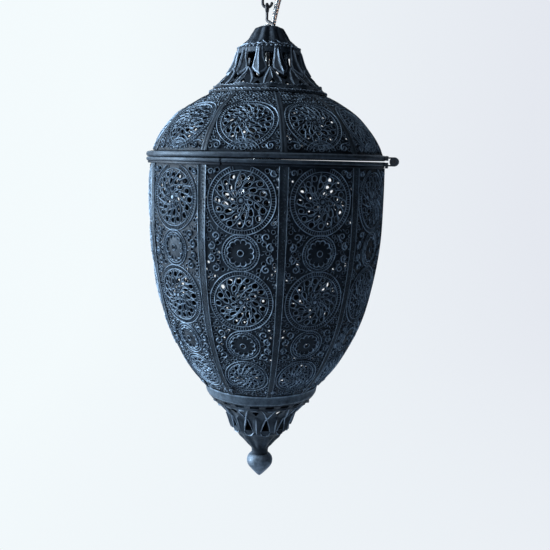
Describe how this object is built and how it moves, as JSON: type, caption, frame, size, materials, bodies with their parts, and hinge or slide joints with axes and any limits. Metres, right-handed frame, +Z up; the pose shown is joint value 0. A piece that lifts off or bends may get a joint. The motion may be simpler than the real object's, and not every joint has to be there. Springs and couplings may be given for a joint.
{
  "type": "hanging lantern",
  "caption": "Pear-shaped pierced metal hanging lantern with a domed lid, a hinged body, openwork crowns and a finial, on a ceiling hook and canopy.",
  "frame": {"origin": "middle of the two ceiling screw holes, on the ceiling plane", "axes": "+Z up into the ceiling, +X towards the hinge between lid and body, -X towards the catch"},
  "size_m": [0.2531, 0.2372, 0.5306],
  "materials": {
    "dark_iron": "satin",
    "dark_casting": "matte",
    "zinc_steel": "satin",
    "clear_flex": "gloss",
    "black_plastic": "matte",
    "white_plastic": "matte",
    "brass": "satin",
    "bulb_glass": "gloss",
    "nickel_cap": "satin"
  },
  "bodies": {
    "ceiling": {"ceiling_bracket": "zinc_steel", "hook_nuts": "zinc_steel", "ceiling_hook": "dark_iron", "canopy_cup": "dark_iron", "canopy_screws": "zinc_steel", "canopy_bush": "black_plastic", "terminal_block": "white_plastic", "flex_upper": "clear_flex"},
    "lid": {"flex_lower": "clear_flex", "eye_rod": "dark_iron", "rod_nut": "zinc_steel", "crown_upper": "dark_casting", "lamp_stem": "zinc_steel", "stem_nuts": "zinc_steel", "lampholder_cap": "black_plastic", "lampholder_shell": "black_plastic", "lampholder_ring": "black_plastic", "lampholder_insulator": "white_plastic", "lampholder_thread": "brass", "lampholder_contact": "brass", "lid_rim": "dark_iron", "hinge_leaf_upper": "dark_iron", "hinge_pin": "zinc_steel", "catch_rivet": "dark_iron", "dome_strips": "dark_iron", "dome_panel_1": "dark_iron", "dome_panel_2": "dark_iron", "dome_panel_3": "dark_iron", "dome_panel_4": "dark_iron", "dome_panel_5": "dark_iron", "dome_panel_6": "dark_iron", "dome_panel_7": "dark_iron", "dome_panel_8": "dark_iron", "dome_panel_9": "dark_iron", "dome_panel_10": "dark_iron"},
    "bulb": {"bulb_glass": "bulb_glass", "bulb_cap": "nickel_cap", "bulb_tip": "black_plastic"},
    "lantern_body": {"body_rim": "dark_iron", "hinge_leaf_lower": "dark_iron", "catch_stud": "dark_iron", "body_strips": "dark_iron", "collar": "dark_iron", "crown_lower": "dark_casting", "finial": "dark_casting", "tie_bar": "zinc_steel", "tie_rod": "zinc_steel", "tie_nut": "zinc_steel", "body_panel_1": "dark_iron", "body_panel_2": "dark_iron", "body_panel_3": "dark_iron", "body_panel_4": "dark_iron", "body_panel_5": "dark_iron", "body_panel_6": "dark_iron", "body_panel_7": "dark_iron", "body_panel_8": "dark_iron", "body_panel_9": "dark_iron", "body_panel_10": "dark_iron"},
    "catch": {"catch_tongue": "dark_iron"}
  },
  "joints": [
    {"name": "lantern_swing", "type": "hinge", "parent": "ceiling", "child": "lid", "pos_m": [-0.0028, 0, -0.0525], "axis": [1, 0, 0], "range_deg": [-25, 25], "deforming": ["flex_upper"]},
    {"name": "body_hinge", "type": "hinge", "parent": "lid", "child": "lantern_body", "pos_m": [0.1265, 0, -0.198], "axis": [0, -1, 0], "range_deg": [0, 100]},
    {"name": "catch_swivel", "type": "hinge", "parent": "lid", "child": "catch", "pos_m": [-0.1196, 0, -0.1949], "axis": [-1, 0, 0], "range_deg": [0, 90]},
    {"name": "bulb_removal", "type": "slide", "parent": "lid", "child": "bulb", "axis": [0, 0, -1], "range_m": [0, 0.045]}
  ]
}
